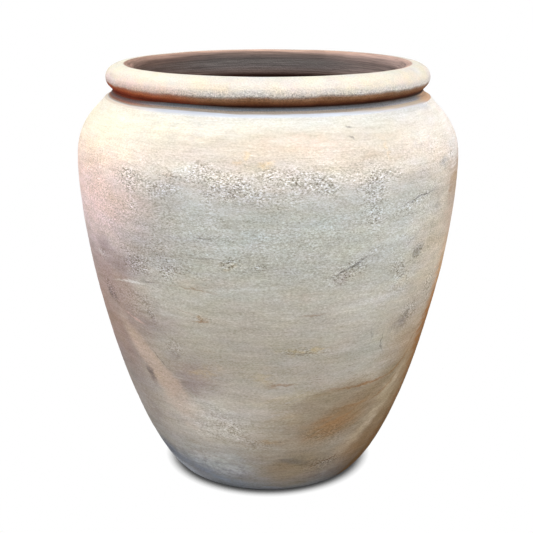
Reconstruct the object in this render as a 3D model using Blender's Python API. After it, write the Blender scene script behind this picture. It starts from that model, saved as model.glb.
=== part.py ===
# Terracotta planter with a rolled rim, as the clay sections that it is built from.
# Metres, +Z up. The origin is the centre of the foot, on the ground.
# An outline is a list of (distance from the axis, height) points, and each section is its outline turned.

import math

import bmesh
import bpy
from mathutils import Vector

# Foot and floor
foot_radius = 0.139  # where the line of the wall would reach the ground
foot_angle = math.radians(50)  # from upright to that line
foot_reach = 0.085  # how long the wall keeps to that lean
foot_rounding = 0.015
floor_thickness = 0.024
drain_radius = 0.015
drain_bevel = 0.002
coil_height = 0.018  # the coil pressed into the corner between floor and wall
coil_width = 0.022

# Wall
wall_thickness = 0.020
belly_radius = 0.272
belly_height = 0.460
reach_below_belly = 0.137
reach_above_belly = 0.046
shoulder_rise = 0.0935  # from the widest line to the neck
shoulder_radius = 0.230  # where the shoulder meets the neck
shoulder_angle = math.radians(45)  # from upright to the wall there
shoulder_reach = 0.048

# Neck
collar_height = 0.0115  # from the shoulder's top to the rim's seat
collar_lean = 0.0121  # how far the collar draws in on the way up
ledge_width = 0.0065  # the sloping ledge at the collar's foot
ledge_height = 0.004
throat_reach = 0.012  # how long the inside of the neck stays upright

# Rim roll, an ellipse outside its crest and a tighter one inside it
rim_half_width = 0.0235
rim_half_height = 0.0188
rim_overhang = 0.011  # beyond the neck
lip_width = 0.0214  # from the crest to the mouth
lip_drop = 0.014

# Joints between sections: a ridge on the lower one, a groove in the upper one, and slip between them
ridge_height = 0.005
slip = 0.0003

# Fineness of the turned surfaces
turn_steps = 48
row_length = 0.020
arc_rows = 5
crease_angle = math.radians(30)  # edges sharper than this stay crisp
halvings = 50  # in the search for a station

# Sections of the wall from the ground up, all of one height, with the colours of their finish
wall_sections = {
    "lower_wall": (0.42, 0.37, 0.31),
    "middle_wall": (0.50, 0.44, 0.36),
    "upper_wall": (0.55, 0.50, 0.41),
    "belly_wall": (0.60, 0.56, 0.46),
    "shoulder_wall": (0.82, 0.74, 0.60),
}
chalky = 0.85  # roughness of limewashed clay


def cubic(curve, share):
    """The point and the direction at a share of the way along a cubic curve."""
    start, start_pull, end_pull, end = curve
    rest = 1 - share
    pulls = 3 * rest**2 * share * start_pull + 3 * rest * share**2 * end_pull
    point = rest**3 * start + pulls + share**3 * end
    legs = (start_pull - start, end_pull - start_pull, end - end_pull)
    direction = rest**2 * legs[0] + 2 * rest * share * legs[1] + share**2 * legs[2]
    return point, direction.normalized()


def leaning(angle):
    """A step of length 1 that leans out from upright by an angle."""
    return Vector((math.sin(angle), math.cos(angle)))


upright = leaning(0)
foot = Vector((foot_radius, 0))
belly = Vector((belly_radius, belly_height))
neck_foot = Vector((shoulder_radius, belly_height + shoulder_rise))
below_belly = (foot, foot + foot_reach * leaning(foot_angle), belly - reach_below_belly * upright, belly)
above_belly = (
    belly,
    belly + reach_above_belly * upright,
    neck_foot - shoulder_reach * leaning(-shoulder_angle),
    neck_foot,
)
neck_station = 2


def wall_face(station):
    """The outer face's point and direction. Station 0 is the foot, 1 the belly and 2 the neck's foot."""
    curve, share = (below_belly, station) if station <= 1 else (above_belly, station - 1)
    return cubic(curve, share)


def on_wall(station, depth=0.0, rise=0.0):
    """A point of the wall: depth goes straight in from its outer face, and rise goes up along it."""
    point, along = wall_face(station)
    outward = Vector((along.y, -along.x))
    return point - depth * outward + rise * along


def station_at(height, depth=0.0):
    """The station where the wall, at a depth, is at a height."""
    low, high = 0.0, float(neck_station)
    for _ in range(halvings):
        middle = (low + high) / 2
        if on_wall(middle, depth).y < height:
            low = middle
        else:
            high = middle
    return (low + high) / 2


def stations_between(low, high):
    """Stations from low to high, both included, about a row's length apart."""
    length = (on_wall(high) - on_wall(low)).length
    rows = max(1, round(length / row_length))
    return [low + (high - low) * k / rows for k in range(rows + 1)]


def ellipse(centre, half_width, half_height, start, end):
    """Points of an ellipse from one angle to another, both included."""
    rows = max(2, round(arc_rows * abs(end - start) / (math.pi / 2)))
    angles = [start + (end - start) * k / rows for k in range(rows + 1)]
    return [centre + Vector((half_width * math.cos(a), half_height * math.sin(a))) for a in angles]


def ridge(outer, inner, along):
    """The three points of a joint: outer edge, ridge and inner edge."""
    return [outer, (outer + inner) / 2 + ridge_height * along, inner]


def wall_joint(station, rise=0.0):
    """A joint straight through the wall, raised by the slip for the section above."""
    along = wall_face(station)[1]
    return ridge(on_wall(station, 0, rise), on_wall(station, wall_thickness, rise), along)


def floor_joint(rise=0.0):
    """The level joint between the floor slab and the wall that stands on it."""
    height = floor_thickness + rise
    outer = on_wall(station_at(height))
    inner = on_wall(station_at(height, wall_thickness), wall_thickness)
    return ridge(outer, inner, upright)


# Where the sections meet
section_height = (neck_foot.y - floor_thickness) / len(wall_sections)
seams = [station_at(floor_thickness + k * section_height) for k in range(len(wall_sections))] + [neck_station]
seat_radius = shoulder_radius - collar_lean
seat_height = neck_foot.y + collar_height
rim_radius = seat_radius + rim_overhang - rim_half_width  # at the crest
mouth_radius = rim_radius - lip_width


def rim_joint(rise=0.0):
    """The level joint between the neck and the rim roll."""
    height = seat_height + rise
    return ridge(Vector((seat_radius, height)), Vector((mouth_radius, height)), upright)


def floor_slab_outline():
    """A slab with a rounded foot, the drain hole, and a ridge under the wall."""
    tangent = foot_rounding * math.tan((math.pi / 2 - foot_angle) / 2)
    ground_radius = foot_radius - tangent
    side_start = tangent * math.cos(foot_angle)
    lowest, highest = station_at(side_start), station_at(floor_thickness)
    side = [on_wall(s) for s in stations_between(lowest, highest)]
    centre = Vector((ground_radius, foot_rounding))
    rounding = ellipse(centre, foot_rounding, foot_rounding, -math.pi / 2, -foot_angle)
    drain = [
        Vector((drain_radius, floor_thickness - drain_bevel)),
        Vector((drain_radius, drain_bevel)),
        Vector((drain_radius + drain_bevel, 0)),
    ]
    outer_edge, crest, inner_edge = floor_joint()
    drain_mouth = Vector((drain_radius + drain_bevel, floor_thickness))
    return rounding[:-1] + side[:-1] + [outer_edge, crest, inner_edge, drain_mouth] + drain


def coil_outline():
    """The coil in the corner, with a hollow face that a finger leaves."""
    foot_of_coil = floor_thickness + slip
    depth = wall_thickness + slip
    top = on_wall(station_at(floor_thickness + coil_height, wall_thickness), depth)
    corner = on_wall(station_at(foot_of_coil, depth), depth)
    toe = corner - Vector((coil_width, 0))
    hollow = (top + toe + corner) / 3
    face = [cubic((top, hollow, hollow, toe), k / arc_rows)[0] for k in range(arc_rows + 1)]
    return [corner] + face


def wall_outline(index):
    """One section of the wall: its outer face downwards, the joint below, its inner face, the joint above."""
    low, high = seams[index], seams[index + 1]
    outer = [on_wall(s) for s in reversed(stations_between(low, high))]
    if index == 0:
        below = floor_joint(slip)
        inner_low = station_at(floor_thickness + coil_height, wall_thickness)
        inner = [on_wall(s, wall_thickness) for s in stations_between(inner_low, high)]
        inner.insert(0, below[-1])
    else:
        below = wall_joint(low, slip)
        inner = [on_wall(s, wall_thickness) for s in stations_between(low, high)]
    crest_above = wall_joint(high)[1]
    return outer[:-1] + below + inner[1:] + [crest_above]


def neck_outline():
    """The neck ring: a steep collar over a sloping ledge, and a throat that opens into the shoulder."""
    below = wall_joint(neck_station, slip)
    above = rim_joint()
    ledge = below[0] + Vector((-ledge_width, ledge_height))
    throat = (
        below[-1],
        below[-1] + throat_reach * leaning(-shoulder_angle),
        above[-1] - throat_reach * upright,
        above[-1],
    )
    inner = [cubic(throat, k / arc_rows)[0] for k in range(arc_rows + 1)]
    return [above[0], ledge] + below + inner[1:] + [above[1]]


def rim_outline():
    """The rim roll, cut level where it sits on the neck."""
    below = rim_joint(slip)
    dip = math.acos((seat_radius - rim_radius) / rim_half_width)
    centre = Vector((rim_radius, below[0].y + rim_half_height * math.sin(dip)))
    crest = centre + rim_half_height * upright
    outside = ellipse(centre, rim_half_width, rim_half_height, math.pi / 2, -dip)
    lip_centre = crest - lip_drop * upright
    inside = ellipse(lip_centre, lip_width, lip_drop, math.pi, math.pi / 2)
    return outside[:-1] + below + inside[:-1]


def finish(name, colour):
    """Chalky fired clay in one colour."""
    material = bpy.data.materials.new(name + "_finish")
    material.use_nodes = True
    shader = material.node_tree.nodes["Principled BSDF"]
    shader.inputs["Base Color"].default_value = (*colour, 1)
    shader.inputs["Roughness"].default_value = chalky
    shader.inputs["Metallic"].default_value = 0
    material.diffuse_color = (*colour, 1)
    return material


def turned(name, outline, colour):
    """Turns a closed outline once round the axis, as its own object."""
    shape = bmesh.new()
    corners = [shape.verts.new((point.x, 0, point.y)) for point in outline]
    sides = [shape.edges.new(pair) for pair in zip(corners, corners[1:] + corners[:1])]
    bmesh.ops.spin(
        shape,
        geom=corners + sides,
        cent=(0, 0, 0),
        axis=(0, 0, 1),
        angle=2 * math.pi,
        steps=turn_steps,
        use_merge=True,
    )
    bmesh.ops.recalc_face_normals(shape, faces=shape.faces)
    mesh = bpy.data.meshes.new(name)
    shape.to_mesh(mesh)
    shape.free()
    mesh.shade_smooth()
    mesh.set_sharp_from_angle(angle=crease_angle)
    mesh.materials.append(finish(name, colour))
    section = bpy.data.objects.new(name, mesh)
    bpy.context.scene.collection.objects.link(section)
    return section


for old in list(bpy.data.objects):
    bpy.data.objects.remove(old)

turned("floor_slab", floor_slab_outline(), (0.38, 0.36, 0.33))
turned("corner_coil", coil_outline(), (0.20, 0.15, 0.13))
for number, (section_name, section_colour) in enumerate(wall_sections.items()):
    turned(section_name, wall_outline(number), section_colour)
turned("neck_ring", neck_outline(), (0.40, 0.38, 0.35))
turned("rim_roll", rim_outline(), (0.85, 0.76, 0.62))
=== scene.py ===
# Terracotta planter: limewashed wall sections, a stained neck and a rolled rim round the frame's solids.
import math

import bmesh
import bpy
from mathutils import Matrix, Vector, noise


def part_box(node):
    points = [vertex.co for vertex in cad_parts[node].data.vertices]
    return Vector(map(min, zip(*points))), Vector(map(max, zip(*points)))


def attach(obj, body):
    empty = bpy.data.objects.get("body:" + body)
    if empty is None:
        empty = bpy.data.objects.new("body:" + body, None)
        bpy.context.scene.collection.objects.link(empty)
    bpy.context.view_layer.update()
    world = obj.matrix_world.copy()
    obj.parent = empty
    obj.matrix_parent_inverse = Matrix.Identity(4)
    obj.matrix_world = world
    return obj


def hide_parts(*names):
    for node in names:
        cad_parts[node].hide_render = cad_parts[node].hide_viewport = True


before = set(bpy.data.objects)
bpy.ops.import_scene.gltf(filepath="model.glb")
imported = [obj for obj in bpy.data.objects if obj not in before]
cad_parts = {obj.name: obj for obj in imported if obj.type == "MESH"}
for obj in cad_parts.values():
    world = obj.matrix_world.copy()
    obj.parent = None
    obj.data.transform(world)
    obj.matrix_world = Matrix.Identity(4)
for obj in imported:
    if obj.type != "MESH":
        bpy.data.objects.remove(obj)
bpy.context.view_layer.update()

print("frame loaded:", len(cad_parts), "nodes")

# The pot's outline, as the solids have it, in metres and degrees.
# A 2D point is (distance from the axis, height).
potShape = {
    "footRadius": 0.139,  # where the line of the wall would reach the ground
    "footLean": 50,
    "footReach": 0.085,
    "footRounding": 0.015,
    "floorThickness": 0.024,
    "drainRadius": 0.015,
    "drainBevel": 0.002,
    "coilHeight": 0.018,
    "coilWidth": 0.022,
    "wallThickness": 0.020,
    "bellyRadius": 0.272,
    "bellyHeight": 0.460,
    "reachBelowBelly": 0.137,
    "reachAboveBelly": 0.046,
    "shoulderRise": 0.0935,
    "shoulderRadius": 0.230,
    "shoulderLean": -45,
    "shoulderReach": 0.048,
    "wallSections": 5,
    "collarHeight": 0.0115,
    "collarLean": 0.0121,
    "ledgeWidth": 0.0065,
    "ledgeHeight": 0.004,
    "throatReach": 0.012,
    "rimHalfWidth": 0.0235,
    "rimHalfHeight": 0.0188,
    "rimOverhang": 0.011,
    "lipWidth": 0.0214,
    "lipDrop": 0.014,
    "ridgeHeight": 0.005,
}

turnSet = {
    "coarseSteps": 60,
    "cuts": 15,  # of each coarse step
    "outsideRow": 0.0018,
    "neckRow": 0.0011,
    "insideRow": 0.0042,
    "hiddenRow": 0.012,
    "seamFade": 0.006,  # how far from a closed seam the relief is back at its full height
    "creaseAngle": 30,
    "halvings": 40,  # in the search for a station
}

hidden, outside, inside = 0, 1, 2  # sides of a section


def leaning(degrees):
    return Vector((math.sin(math.radians(degrees)), math.cos(math.radians(degrees))))


def alongCurve(curve, share):
    start, startPull, endPull, end = curve
    rest = 1 - share
    pulls = 3 * rest**2 * share * startPull + 3 * rest * share**2 * endPull
    legs = (startPull - start, endPull - startPull, end - endPull)
    heading = rest**2 * legs[0] + 2 * rest * share * legs[1] + share**2 * legs[2]
    return rest**3 * start + pulls + share**3 * end, heading.normalized()


upright = leaning(0)
wallFoot = Vector((potShape["footRadius"], 0))
belly = Vector((potShape["bellyRadius"], potShape["bellyHeight"]))
neckFoot = Vector((potShape["shoulderRadius"], potShape["bellyHeight"] + potShape["shoulderRise"]))
belowBelly = (
    wallFoot,
    wallFoot + potShape["footReach"] * leaning(potShape["footLean"]),
    belly - potShape["reachBelowBelly"] * upright,
    belly,
)
aboveBelly = (
    belly,
    belly + potShape["reachAboveBelly"] * upright,
    neckFoot - potShape["shoulderReach"] * leaning(potShape["shoulderLean"]),
    neckFoot,
)
neckStation = 2  # station 0 is the foot, 1 the belly and 2 the neck's foot


def wallFace(station):
    if station <= 1:
        return alongCurve(belowBelly, station)
    return alongCurve(aboveBelly, station - 1)


def outwardAt(station):
    heading = wallFace(station)[1]
    return Vector((heading.y, -heading.x))


def onWall(station, depth=0.0):
    return wallFace(station)[0] - depth * outwardAt(station)


def stationAt(height, depth=0.0):
    low, high = 0.0, float(neckStation)
    for halving in range(turnSet["halvings"]):
        middle = (low + high) / 2
        if onWall(middle, depth).y < height:
            low = middle
        else:
            high = middle
    return (low + high) / 2


def shares(length, row):
    rows = max(1, round(length / row))
    return [k / rows for k in range(rows + 1)]


def smooth(value, low, high):
    share = min(1.0, max(0.0, (value - low) / (high - low)))
    return share * share * (3 - 2 * share)


def wallPoints(low, high, row, depth=0.0):
    length = (onWall(high) - onWall(low)).length
    return [onWall(low + (high - low) * share, depth) for share in shares(length, row)]


def linePoints(start, end, row):
    return [start.lerp(end, share) for share in shares((end - start).length, row)]


def curvePoints(curve, row):
    return [alongCurve(curve, share)[0] for share in shares((curve[-1] - curve[0]).length, row)]


def arcPoints(centre, halfWidth, halfHeight, start, end, row):
    length = abs(end - start) * (halfWidth + halfHeight) / 2
    angles = [start + (end - start) * share for share in shares(length, row)]
    return [centre + Vector((halfWidth * math.cos(a), halfHeight * math.sin(a))) for a in angles]


# An outline runs clockwise round a section: down its outside and up its inside.
# Each entry holds a point, the way that relief lifts it there, and its side.
def run(points, side, startFade=0.0, endFade=0.0):
    entries = []
    for k, point in enumerate(points):
        way = (points[min(k + 1, len(points) - 1)] - points[max(k - 1, 0)]).normalized()
        lift = Vector((-way.y, way.x))
        if startFade:
            lift *= smooth((point - points[0]).length, 0, startFade)
        if endFade:
            lift *= smooth((point - points[-1]).length, 0, endFade)
        entries.append((point, lift, side))
    return entries


def crest(outer, inner, heading):
    # the ridge of a joint, which sits in the groove of the section above
    return [((outer + inner) / 2 + potShape["ridgeHeight"] * heading, Vector((0, 0)), hidden)]


seat = neckFoot + Vector((-potShape["collarLean"], potShape["collarHeight"]))
rimRadius = seat.x + potShape["rimOverhang"] - potShape["rimHalfWidth"]
mouth = Vector((rimRadius - potShape["lipWidth"], seat.y))
sectionHeight = (neckFoot.y - potShape["floorThickness"]) / potShape["wallSections"]
seams = [stationAt(potShape["floorThickness"] + k * sectionHeight) for k in range(potShape["wallSections"])]
seams.append(neckStation)
floorInside = stationAt(potShape["floorThickness"], potShape["wallThickness"])
fade = turnSet["seamFade"]


def wallOutline(number):
    depth = potShape["wallThickness"]
    low, high = seams[number], seams[number + 1]
    lowInside = floorInside if number == 0 else low
    headingBelow = upright if number == 0 else wallFace(low)[1]
    topFade = fade if high == neckStation else 0.0
    outline = run(wallPoints(high, low, turnSet["outsideRow"]), outside, startFade=topFade)
    outline += crest(onWall(low), onWall(lowInside, depth), headingBelow)
    outline += run(wallPoints(lowInside, high, turnSet["insideRow"], depth), inside, endFade=topFade)
    outline += crest(onWall(high), onWall(high, depth), wallFace(high)[1])
    return outline


def neckOutline():
    inner = onWall(neckStation, potShape["wallThickness"])
    ledge = neckFoot + Vector((-potShape["ledgeWidth"], potShape["ledgeHeight"]))
    throat = (
        inner,
        inner + potShape["throatReach"] * leaning(potShape["shoulderLean"]),
        mouth - potShape["throatReach"] * upright,
        mouth,
    )
    bands = linePoints(seat, ledge, turnSet["neckRow"])[:-1] + linePoints(ledge, neckFoot, turnSet["neckRow"])
    outline = run(bands, outside, fade, fade)
    outline += crest(neckFoot, inner, wallFace(neckStation)[1])
    outline += run(curvePoints(throat, turnSet["outsideRow"]), inside, fade, fade)
    return outline + crest(seat, mouth, upright)


def rimOutline():
    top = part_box("rim_roll")[1].z
    dip = math.acos((seat.x - rimRadius) / potShape["rimHalfWidth"])
    centre = Vector((rimRadius, top - potShape["rimHalfHeight"]))
    lipCentre = Vector((rimRadius, top - potShape["lipDrop"]))
    row = turnSet["outsideRow"]
    halfWidth, halfHeight = potShape["rimHalfWidth"], potShape["rimHalfHeight"]
    roll = arcPoints(centre, halfWidth, halfHeight, math.pi / 2, -dip, row)
    lip = arcPoints(lipCentre, potShape["lipWidth"], potShape["lipDrop"], math.pi, math.pi / 2, row)
    outline = run(roll[:-1] + [seat], outside, endFade=fade)
    outline += crest(seat, mouth, upright)
    return outline + run(linePoints(mouth, lip[0], row)[:-1] + lip, outside, startFade=fade)[:-1]


def slabOutline():
    thickness, rounding, bevel = potShape["floorThickness"], potShape["footRounding"], potShape["drainBevel"]
    row = turnSet["outsideRow"]
    lean = math.radians(potShape["footLean"])
    tangent = rounding * math.tan(math.radians(90 - potShape["footLean"]) / 2)
    ground = Vector((potShape["footRadius"] - tangent, 0))
    side = wallPoints(seams[0], stationAt(tangent * math.cos(lean)), row)
    foot = arcPoints(ground + rounding * upright, rounding, rounding, -lean, -math.pi / 2, row)
    inner = onWall(floorInside, potShape["wallThickness"])
    holeFoot = Vector((potShape["drainRadius"] + bevel, 0))
    hole = linePoints(
        Vector((potShape["drainRadius"], bevel)),
        Vector((potShape["drainRadius"], thickness - bevel)),
        turnSet["insideRow"],
    )
    floor = linePoints(holeFoot + thickness * upright, inner, turnSet["insideRow"])
    outline = run(side[:-1] + foot, outside, endFade=rounding)
    outline += run(linePoints(ground, holeFoot, turnSet["hiddenRow"])[1:], hidden)
    outline += run(hole + floor, inside, fade, fade)
    return outline + crest(side[0], inner, upright)


def coilOutline():
    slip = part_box("corner_coil")[0].z - potShape["floorThickness"]
    depth = potShape["wallThickness"] + slip
    coilTop = potShape["floorThickness"] + potShape["coilHeight"]
    top = onWall(stationAt(coilTop, potShape["wallThickness"]), depth)
    corner = onWall(stationAt(potShape["floorThickness"] + slip, depth), depth)
    toe = corner - Vector((potShape["coilWidth"], 0))
    hollow = (top + toe + corner) / 3
    face = curvePoints((toe, hollow, hollow, top), turnSet["outsideRow"])
    return run(face, inside, fade, fade) + [(corner, Vector((0, 0)), hidden)]


# Relief of the clay: heights and spacings in metres. A flatness over 1 draws waves out sideways.
reliefSet = {
    "seed": Vector((3.7, 1.9, 8.2)),
    "unevenSpacing": 0.12,
    "unevenHeight": 0.0007,
    "dentSpacing": 0.034,
    "dentFlatness": 1.7,
    "dentHeight": 0.00035,
    "ringSpacing": 0.0052,  # the throwing lines
    "ringLength": 0.22,
    "ringHeight": 0.00022,
    "ringWander": 0.004,
    "ringWanderSpacing": 0.15,
    "ringsUnderSand": 0.6,  # the share of a throwing line that sand fills
    "gritSpacing": 0.0033,  # lumps of sandy wash
    "gritFlatness": 1.25,
    "gritHeight": 0.00055,
    "insideRingSpacing": 0.009,
    "insideRingHeight": 0.0006,
    "insideWanderSpacing": 0.12,
    "sunk": 0.0007,  # the whole surface lies this much inside the smooth outline
}

# How a sandy place wears at its edges, and the thin loose sand over the upper wall
sandSet = {
    "ragged": ((0.55, 0.022, 1.6), (0.35, 0.008, 1.5)),  # each: amount, spacing and flatness
    "edge": (1.5, 0.3),  # shares of its reach where the sand starts and where it is full
    "thinFoot": (0.26, 0.38),
    "thinTop": (0.54, 0.49),
    "thinEverywhere": 0.05,
    "thinLoose": 0.20,
    "looseSpacing": 0.06,
    "looseFlatness": 1.8,
    "looseEdge": (-0.5, 0.9),
}

# Sandy places: turn round the pot in degrees (0 faces the camera, and it grows to the right),
# height, half width, half height, how far it climbs to the right in degrees, and strength
sandyPlaces = [
    (-12, 0.482, 0.050, 0.015, -6, 0.85),
    (6, 0.484, 0.050, 0.012, -2, 0.65),
    (-3, 0.467, 0.050, 0.014, 0, 0.50),
    (14, 0.474, 0.022, 0.009, -25, 0.80),
    (-40, 0.475, 0.026, 0.012, 6, 0.90),
    (-30, 0.466, 0.040, 0.010, 4, 0.60),
    (-26, 0.484, 0.022, 0.008, -4, 0.55),
    (-58, 0.465, 0.040, 0.040, 0, 0.14),
    (29, 0.456, 0.018, 0.038, 8, 0.65),
    (33, 0.483, 0.020, 0.008, -5, 0.55),
    (22, 0.486, 0.060, 0.012, 0, 0.30),
    (-40, 0.442, 0.010, 0.008, 0, 0.50),
    (66, 0.487, 0.008, 0.006, 0, 0.80),
    (-28, 0.412, 0.070, 0.040, 0, 0.22),
    (-50, 0.420, 0.040, 0.040, 0, 0.16),
    (-45, 0.300, 0.034, 0.020, 0, 0.40),
    (-41, 0.358, 0.018, 0.013, -8, 0.90),
    (-29, 0.354, 0.014, 0.012, -20, 1.00),
    (-34, 0.372, 0.060, 0.020, 0, 0.38),
    (-57, 0.302, 0.012, 0.024, 50, 0.80),
    (-58, 0.358, 0.010, 0.010, 0, 0.60),
    (-10, 0.376, 0.012, 0.008, 0, 0.80),
    (-2, 0.373, 0.008, 0.004, 0, 0.60),
    (-37, 0.286, 0.008, 0.014, 30, 0.60),
    (-31, 0.248, 0.012, 0.010, 0, 0.50),
    (8, 0.400, 0.100, 0.050, 0, 0.20),
    (23, 0.364, 0.034, 0.010, 28, 0.55),
    (40, 0.356, 0.012, 0.018, 20, 0.60),
    (48, 0.370, 0.012, 0.012, 20, 0.50),
    (42, 0.330, 0.024, 0.018, 20, 0.35),
    (60, 0.305, 0.016, 0.024, 24, 0.75),
    (50, 0.284, 0.020, 0.016, 24, 0.65),
    (44, 0.440, 0.036, 0.008, 14, 0.40),
    (-19, 0.296, 0.016, 0.006, 0, 0.30),
    (12, 0.252, 0.036, 0.006, -2, 0.35),
    (-12, 0.118, 0.026, 0.018, -40, 0.45),
    (-20, 0.134, 0.040, 0.030, 0, 0.25),
    (-4, 0.098, 0.026, 0.012, -10, 0.40),
    (24, 0.110, 0.034, 0.014, 10, 0.30),
    (27, 0.056, 0.020, 0.008, 6, 0.70),
    (22, 0.048, 0.026, 0.012, 0, 0.35),
    (4, 0.579, 0.130, 0.007, 0, 0.70),
    (128, 0.470, 0.110, 0.014, 4, 0.85),
    (196, 0.478, 0.090, 0.014, 0, 0.75),
    (160, 0.460, 0.040, 0.020, 0, 0.60),
    (-110, 0.455, 0.090, 0.020, -6, 0.75),
    (150, 0.300, 0.040, 0.016, 24, 0.75),
    (-135, 0.350, 0.050, 0.018, -20, 0.65),
    (175, 0.150, 0.040, 0.016, 12, 0.50),
    (100, 0.330, 0.026, 0.020, 30, 0.65),
    (-150, 0.110, 0.040, 0.016, -20, 0.50),
]


def wave(spot, spacing, flatness=1.0):
    # noise of about one wave a spacing
    along = spacing * flatness
    return noise.noise(Vector((spot.x / along, spot.y / along, spot.z / spacing)) + reliefSet["seed"])


def throwingLines(spot, spacing, wanderSpacing):
    # waves a spacing apart up the wall, drawn far out round it
    length = reliefSet["ringLength"]
    wander = reliefSet["ringWander"] * wave(spot, wanderSpacing)
    return wave(Vector((spot.x, spot.y, (spot.z + wander) * length / spacing)), length)


def climbing(place):
    # a sandy place with its turn in radians, the cosine and sine of its climb and how far up it can reach
    turn, height, halfWidth, halfHeight, climb, strength = place
    cosine, sine = math.cos(math.radians(climb)), math.sin(math.radians(climb))
    reach = 2 * (halfWidth * abs(sine) + halfHeight)
    return math.radians(turn), height, reach, halfWidth, halfHeight, cosine, sine, strength


sandySpots = [climbing(place) for place in sandyPlaces]


def sandAt(spot, turn, radius):
    ragged = sum(amount * wave(spot, spacing, flatness) for amount, spacing, flatness in sandSet["ragged"])
    sand = 0.0
    for placeTurn, height, reach, halfWidth, halfHeight, cosine, sine, strength in sandySpots:
        up = spot.z - height
        if abs(up) > reach:
            continue
        along = (turn - placeTurn + math.pi) % math.tau - math.pi
        along *= radius
        if abs(along) > 2 * halfWidth:
            continue
        far = math.hypot((along * cosine + up * sine) / halfWidth, (up * cosine - along * sine) / halfHeight)
        sand += strength * smooth(far + ragged, *sandSet["edge"])
    thin = smooth(spot.z, *sandSet["thinFoot"]) * smooth(spot.z, *sandSet["thinTop"])
    spread = wave(spot, sandSet["looseSpacing"], sandSet["looseFlatness"])
    loose = smooth(spread + ragged, *sandSet["looseEdge"])
    return min(1.0, sand + thin * (sandSet["thinEverywhere"] + sandSet["thinLoose"] * loose))


def outsideRelief(spot, turn, radius):
    # how far the clay stands out, how sandy it is, and how deep in a hollow
    sand = sandAt(spot, turn, radius)
    lumps = wave(spot, reliefSet["gritSpacing"], reliefSet["gritFlatness"])
    slow = reliefSet["unevenHeight"] * wave(spot, reliefSet["unevenSpacing"])
    dents = reliefSet["dentHeight"] * wave(spot, reliefSet["dentSpacing"], reliefSet["dentFlatness"])
    lines = throwingLines(spot, reliefSet["ringSpacing"], reliefSet["ringWanderSpacing"])
    rings = reliefSet["ringHeight"] * lines * (1 - reliefSet["ringsUnderSand"] * sand)
    standing = slow + dents + rings + reliefSet["gritHeight"] * sand * lumps
    return min(0.0, standing - reliefSet["sunk"]), sand, max(0.0, -lumps) * sand


def insideRelief(spot):
    lines = throwingLines(spot, reliefSet["insideRingSpacing"], reliefSet["insideWanderSpacing"])
    dents = reliefSet["dentHeight"] * wave(spot, reliefSet["dentSpacing"])
    return reliefSet["insideRingHeight"] * lines + dents - reliefSet["sunk"]


def turned(name, outline):
    # a closed outline turned once round the axis, then given its relief
    shape = bmesh.new()
    home = shape.verts.layers.float_vector.new("home")
    lifts = shape.verts.layers.float_vector.new("lifts")
    sandy = shape.verts.layers.float.new("sandy")
    hollows = shape.verts.layers.float.new("hollows")
    corners = []
    for point, lift, side in outline:
        corner = shape.verts.new((point.x, 0, point.y))
        corner[home] = (point.x, point.y, side)
        corner[lifts] = (lift.x, lift.y, 0)
        corners.append(corner)
    edges = [shape.edges.new(pair) for pair in zip(corners, corners[1:] + corners[:1])]
    bmesh.ops.spin(
        shape,
        geom=corners + edges,
        cent=(0, 0, 0),
        axis=(0, 0, 1),
        angle=2 * math.pi,
        steps=turnSet["coarseSteps"],
        use_merge=True,
    )
    around = [edge for edge in shape.edges if edge.verts[0][home] == edge.verts[1][home]]
    bmesh.ops.subdivide_edges(shape, edges=around, cuts=turnSet["cuts"], use_grid_fill=True)
    for vert in shape.verts:
        radius, height, side = vert[home]
        outwards = Vector((vert.co.x, vert.co.y, 0)).normalized()
        spot = outwards * radius + Vector((0, 0, height))
        standing = 0.0
        if round(side) == outside:
            turn = math.atan2(spot.x, -spot.y)
            standing, vert[sandy], vert[hollows] = outsideRelief(spot, turn, radius)
        elif round(side) == inside:
            standing = insideRelief(spot)
        lift = vert[lifts]
        vert.co = spot + standing * (outwards * lift.x + Vector((0, 0, lift.y)))
    bmesh.ops.recalc_face_normals(shape, faces=shape.faces)
    for face in shape.faces:
        sides = {round(vert[home].z) for vert in face.verts}
        face.material_index = sides.pop() if len(sides) == 1 else hidden
    for layer in ("home", "lifts"):
        shape.verts.layers.float_vector.remove(shape.verts.layers.float_vector[layer])
    mesh = bpy.data.meshes.new(name)
    shape.to_mesh(mesh)
    shape.free()
    mesh.shade_smooth()
    mesh.set_sharp_from_angle(angle=math.radians(turnSet["creaseAngle"]))
    piece = bpy.data.objects.new(name, mesh)
    bpy.context.scene.collection.objects.link(piece)
    print(name, "turned:", len(mesh.polygons), "faces")
    return piece


patchDepth = 0.12  # how far a washed place reaches through the wall's curve
warmTurn = (0.5, 0.1, -0.9)  # how warmth moves red, green and blue


class Wire:
    # a socket in a finish, on which sums and products add their Math nodes
    def __init__(self, finish, socket):
        self.finish = finish
        self.socket = socket

    def __add__(self, other):
        return self.finish.maths("ADD", self, other)

    def __sub__(self, other):
        return self.finish.maths("SUBTRACT", self, other)

    def __rsub__(self, other):
        return self.finish.maths("SUBTRACT", other, self)

    def __mul__(self, other):
        return self.finish.maths("MULTIPLY", self, other)

    def __truediv__(self, other):
        return self.finish.maths("DIVIDE", self, other)

    __radd__ = __add__
    __rmul__ = __mul__


def shade(red, green, blue):
    # a colour as it shows on the screen, 0 to 255, made linear
    levels = [level / 255 for level in (red, green, blue)]
    return (*[level / 12.92 if level < 0.04045 else ((level + 0.055) / 1.055) ** 2.4 for level in levels], 1)


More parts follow.
